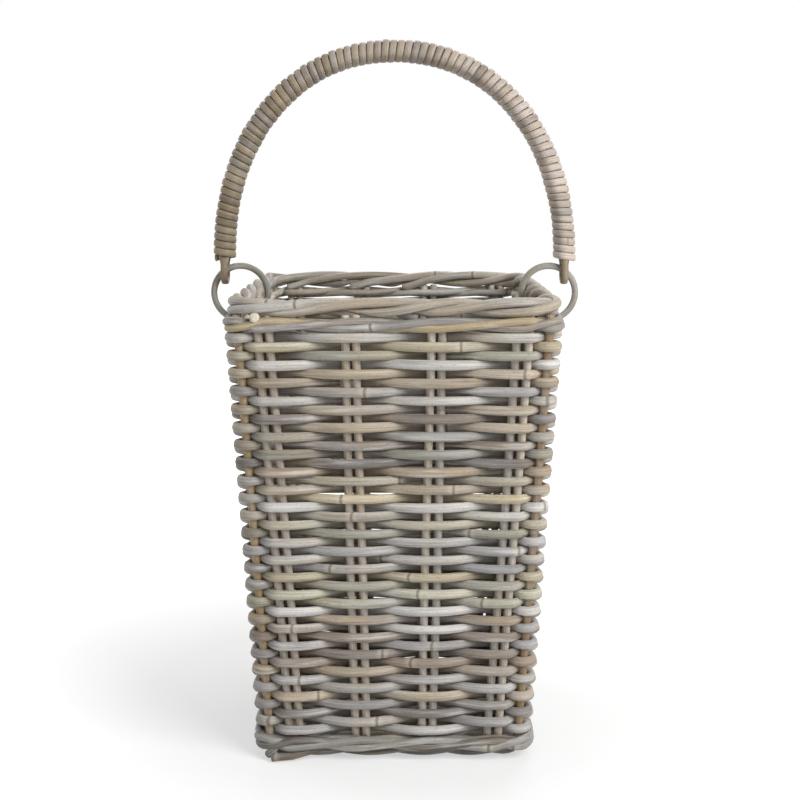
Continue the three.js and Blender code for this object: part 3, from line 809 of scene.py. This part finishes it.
for strand in range(3):
    path, angle = laid(rim_points, rim_out, border_z, border_spread, border_twists, strand / 3, chance,
                       border_unrest)
    turns = (angle - cut_angle) / (2 * math.pi)
    cuts = [k for k in range(1, len(path)) if math.floor(turns[k]) > math.floor(turns[k - 1])]
    cuts = cuts[chance.randrange(2)::2]
    rods = []
    for begin, end in zip(cuts, cuts[1:] + [cuts[0] + len(path)]):
        steps = np.arange(begin, end + past_cut) % len(path)
        run = path[steps].copy()
        middle = rim_points[steps] + np.array([0, 0, border_z])
        count = len(steps)
        for k in range(count):
            start_share = 1 - eased(k / start_points)
            run[k] += (middle[k] - run[k]) * start_tuck * start_share
            end_share = eased((k - count + end_points + 1) / end_points)
            run[k] += (-rim_out[steps[k]] * end_in - np.array([0, 0, end_drop])) * end_share
        pointed = np.array([border_point + (1 - border_point) * eased(k / end_points)
                            for k in range(count)])
        thick = border_strand * chance.uniform(0.92, 1.05) * pointed
        rods.append(rod(run, (0, 0, 1), thick, thick, picked(chance, border_colours), cut_place(chance)))
    if strand == 0:
        cut_end = evenly(cut_end_places, border_spacing)
        rods.append(rod(cut_end, (0, 0, 1), border_strand, border_strand, cut_end_colour, cut_end_shift))
    bundle(f"border_{strand + 1}", rods, border_finish, "basket",
           [f"border_strand_{strand + 1}"])

# Rings: thin rattan rods bent to a circle and glued at a slanted joint. Each goes round the border
# and through the wall under it, and the handle's eye goes round it.
ring_finish = rattan("ring_rattan", streak=0.25, chalk=0.25, dirt=0.35, scar=0.6, roughness=0.55, bump=0.3)
ring_x = 148.02 * MM
ring_y = riser_y
ring_z = 388.84 * MM
ring_radius = 25.8 * MM
ring_half = 3.1 * MM
ring_steps = 96
ring_uneven = 0.025
chance = random.Random(67)
# The left ring has darker colours than the right one: painted shade on the left ring.
ring_colours_left_shaded = {"ring_left": [(128, 126, 114), (134, 131, 118)],
                "ring_right": [(152, 149, 138), (158, 153, 141)]}
for name, side in (("ring_left", -1), ("ring_right", 1)):
    turn = np.linspace(0, 2 * math.pi, ring_steps, endpoint=False)
    path = np.stack([side * ring_x + ring_radius * np.cos(turn), np.full(ring_steps, ring_y),
                     ring_z + ring_radius * np.sin(turn)], axis=1)
    half = ring_half * (1 + ring_uneven * np.sin(3 * turn + chance.uniform(0, 6)))
    ring = rod(path, (0, 1, 0), half, half, linear(*chance.choice(ring_colours_left_shaded[name])),
               cut_place(chance), closed=True)
    bundle(f"{name}_rod", [ring], ring_finish, name, [name])

# Handle core: a thick rattan rod steamed to an arch. Each end is shaved thin and bent round the ring
# to an eye, and its tail is tucked back up under the wrapping.
rod_finish = rattan("handle_rod", streak=0.3, chalk=0.2, dirt=0.4, scar=0.5, roughness=0.6, bump=0.4)
eye_x = 162.82 * MM
eye_z = 409.97 * MM
eye_radius = 8.4 * MM
eye_half = 2.3 * MM
eye_half_wide = 3.4 * MM
eye_widening = 2.3 * MM
widen_from = 6 * MM
widen_over = 10 * MM
eye_tail = 10 * MM
eye_drop = 2.4 * MM
eye_fullness = 1.75
eye_steps = 90
eye_spacing = 1.5 * MM
eye_square = 0.75
arch_z = 422.39 * MM
arch_rise = 194 * MM
arch_fullness = 2.12
arch_steps = 4000
core_half = 6.3 * MM
core_steps = 120
core_shift = 2.0
core_colour = linear(136, 120, 100)


def arch_points(count):
    """Even points along the middle of the arch, from the left neck over the top to the right neck."""
    angle = np.linspace(math.pi, 0, arch_steps)
    power = 2 / arch_fullness
    x = np.sign(np.cos(angle)) * np.abs(np.cos(angle)) ** power * eye_x
    z = arch_z + arch_rise * np.abs(np.sin(angle)) ** power
    path = np.stack([x, np.full(len(x), ring_y), z], axis=1)
    lengths = np.concatenate([[0], np.cumsum(np.linalg.norm(np.diff(path, axis=0), axis=1))])
    places = np.linspace(0, lengths[-1], count)
    return np.stack([np.interp(places, lengths, path[:, axis]) for axis in range(3)], axis=1)


chance = random.Random(71)
pieces = [rod(arch_points(core_steps), (0, 1, 0), core_half, core_half, core_colour, core_shift)]
eye_top = arch_z + eye_tail
eye_bottom = eye_z - eye_radius - eye_drop
turn = np.linspace(0, 2 * math.pi, eye_steps)
eye_rise = (eye_top + eye_bottom + (eye_top - eye_bottom) * np.cos(turn)) / 2
eye_swing = eye_fullness * eye_radius * np.sin(turn) * np.sin(turn / 2) ** 1.5
for side in (-1, 1):
    loop = np.stack([np.full(eye_steps, side * eye_x), ring_y - eye_swing, eye_rise], axis=1)
    loop = evenly(loop, eye_spacing)
    widen = np.clip((loop[:, 2] - eye_z - widen_from) / widen_over, 0, 1)
    pieces.append(rod(loop, (1, 0, 0), eye_half_wide + widen * eye_widening, eye_half, core_colour,
                      cut_place(chance), square=eye_square))
bundle("handle_rod", pieces, rod_finish, "handle", ["handle_core"])

# Handle wrapping: one strip of flat cane wound edge to edge round the core, from neck to neck, glued
# and pinned under its last turn. Its skin side is out, so it is smooth and a little shiny.
cane_finish = rattan("handle_cane", streak=0.28, chalk=0.22, dirt=0.4, scar=0.35,
                     roughness=0.52, bump=0.18)
wrap_turns = 80
strip_half_width = 3.4 * MM
strip_half_thick = 1.7 * MM
wrap_reach = core_half + 2.4 * MM
steps_per_turn = 24
wrap_lean = math.radians(28)
wrap_uneven = 0.35 * MM
wrap_power = 6
wrap_fit = 0.93
wrap_corners = 0.5
strip_square = 0.7
# The strip goes from a darker, browner colour on the left leg to a paler one on the right: partly the
# cane's own colour, partly painted shade on the left leg.
pale_and_unshaded_from = 0.24
pale_and_unshaded_over = 0.5
left_cane_and_shade = np.array(linear(150, 135, 112))
right_cane = np.array(linear(196, 182, 169))
wrap_path = arch_points(wrap_turns * steps_per_turn + 1)
ahead = np.gradient(wrap_path, axis=0)
ahead /= np.linalg.norm(ahead, axis=1)[:, None]
away = np.stack([-ahead[:, 2], np.zeros(len(ahead)), ahead[:, 0]], axis=1)
turn = 2 * math.pi * np.arange(len(wrap_path)) / steps_per_turn
chance = random.Random(73)
uneven = np.array([chance.uniform(-wrap_uneven, wrap_uneven) for _ in range(wrap_turns + 2)])
gone = np.arange(len(wrap_path)) / steps_per_turn
reach = wrap_reach + np.interp(gone, np.arange(wrap_turns + 2), uneven)
squared = turn - wrap_lean
powers = np.abs(np.cos(squared)) ** wrap_power + np.abs(np.sin(squared)) ** wrap_power
squareness = powers ** (-1 / wrap_power)
reach = reach * (wrap_fit + wrap_corners * (squareness - 1))
winding = (wrap_path + away * (reach * np.cos(turn))[:, None]
           + np.array([0, 1, 0]) * (reach * np.sin(turn))[:, None])
# Painted shade on the left leg that fades out towards the right, together with the cane's own change of
# colour.
share = np.arange(len(wrap_path)) / (len(wrap_path) - 1)
pale_and_unshaded = np.clip((share - pale_and_unshaded_from) / pale_and_unshaded_over, 0, 1)[:, None]
shade = np.array([chance.uniform(0.6, 1.2) for _ in range(wrap_turns + 2)])
shade = np.interp(share * wrap_turns, np.arange(wrap_turns + 2), shade)[:, None]
cane_tint_and_shade = (left_cane_and_shade * (1 - pale_and_unshaded) + right_cane * pale_and_unshaded) * shade
strip = rod(winding, ahead, strip_half_width, strip_half_thick, cane_tint_and_shade, 0.0, square=strip_square)
bundle("handle_wrapping", [strip], cane_finish, "handle", ["handle_wrap"])

# Studio: a plain white floor and surround, a broad soft lamp from the front right, weaker ones from
# the left and from behind, and a camera above the height of the rim that looks a little down on it.
studio_half = 6
glow_range = (0.24, 0.8, 0.53, 1.0)
shadow_grey = (0.42, 0.42, 0.42, 1)
bounce_grey = (0.8, 0.8, 0.8, 1)
world_light = 0.23
camera_view = math.radians(30)
camera_tilt = math.radians(90 - 8.22)
camera_place = (0.0052, -1.4148, 0.4921)


def any_sight(tree):
    """1 for rays straight from the camera and for those that reach it by a shine or through glass."""
    sight = tree.nodes.new("ShaderNodeLightPath")
    total = sight.outputs["Is Camera Ray"]
    for kind in ("Is Glossy Ray", "Is Transmission Ray"):
        larger = tree.nodes.new("ShaderNodeMath")
        larger.operation = "MAXIMUM"
        tree.links.new(total, larger.inputs[0])
        tree.links.new(sight.outputs[kind], larger.inputs[1])
        total = larger.outputs[0]
    return total


floor_mesh = bpy.data.meshes.new("studio_floor")
floor_corners = [(x * studio_half, y * studio_half, 0) for x, y in ((-1, -1), (1, -1), (1, 1), (-1, 1))]
floor_mesh.from_pydata(floor_corners, [], [(0, 1, 2, 3)])
floor = bpy.data.objects.new("studio_floor", floor_mesh)
bpy.context.scene.collection.objects.link(floor)
floor_paint = bpy.data.materials.new("studio_white")
floor_paint.use_nodes = True
paint = floor_paint.node_tree
paint.nodes.remove(paint.nodes["Principled BSDF"])
place = paint.nodes.new("ShaderNodeNewGeometry")
spread = paint.nodes.new("ShaderNodeVectorMath")
spread.operation = "LENGTH"
paint.links.new(place.outputs["Position"], spread.inputs[0])
glow_level = paint.nodes.new("ShaderNodeMapRange")
for socket, number in zip(glow_level.inputs[1:5], glow_range):
    socket.default_value = number
paint.links.new(spread.outputs["Value"], glow_level.inputs[0])
glow = paint.nodes.new("ShaderNodeEmission")
paint.links.new(glow_level.outputs[0], glow.inputs["Strength"])
shadowed = paint.nodes.new("ShaderNodeBsdfDiffuse")
shadowed.inputs["Color"].default_value = shadow_grey
both = paint.nodes.new("ShaderNodeAddShader")
paint.links.new(glow.outputs[0], both.inputs[0])
paint.links.new(shadowed.outputs[0], both.inputs[1])
bounce = paint.nodes.new("ShaderNodeBsdfDiffuse")
bounce.inputs["Color"].default_value = bounce_grey
chosen = paint.nodes.new("ShaderNodeMixShader")
paint.links.new(any_sight(paint), chosen.inputs[0])
paint.links.new(bounce.outputs[0], chosen.inputs[1])
paint.links.new(both.outputs[0], chosen.inputs[2])
paint.links.new(chosen.outputs[0], paint.nodes["Material Output"].inputs["Surface"])
floor_mesh.materials.append(floor_paint)


def lamp(name, place, target, size, power):
    """A square soft lamp that faces a target."""
    light = bpy.data.lights.new(name, "AREA")
    light.shape = "RECTANGLE"
    light.size = size
    light.size_y = size
    light.energy = power
    holder = bpy.data.objects.new(name, light)
    bpy.context.scene.collection.objects.link(holder)
    holder.location = place
    toward = np.array(target) - np.array(place)
    across = math.hypot(toward[0], toward[1])
    holder.rotation_euler = (math.pi / 2 + math.atan2(toward[2], across), 0,
                             math.atan2(-toward[0], toward[1]))


lamp("key_lamp", (1.5, -1.6, 1.7), (0, 0, 0.25), 1.5, 67)
lamp("fill_lamp", (-1.2, -2.0, 1.2), (0, 0, 0.3), 1.6, 4)
lamp("back_lamp", (0.35, 1.9, 2.2), (0, 0, 0.25), 1.8, 42)
lamp("left_lamp", (-1.9, 1.1, 1.2), (0, 0, 0.25), 1.6, 20)
world = bpy.data.worlds.new("studio")
bpy.context.scene.world = world
world.use_nodes = True
sky = world.node_tree.nodes["Background"]
sky.inputs["Color"].default_value = (1, 1, 1, 1)
level = world.node_tree.nodes.new("ShaderNodeMapRange")
level.inputs[3].default_value = world_light
level.inputs[4].default_value = 1.0
world.node_tree.links.new(any_sight(world.node_tree), level.inputs[0])
world.node_tree.links.new(level.outputs[0], sky.inputs["Strength"])
bpy.context.scene.view_settings.view_transform = "Standard"
camera_data = bpy.data.cameras.new("photo_camera")
camera_data.angle = camera_view
camera = bpy.data.objects.new("photo_camera", camera_data)
bpy.context.scene.collection.objects.link(camera)
camera.location = camera_place
camera.rotation_euler = (camera_tilt, 0, 0)
bpy.context.scene.camera = camera
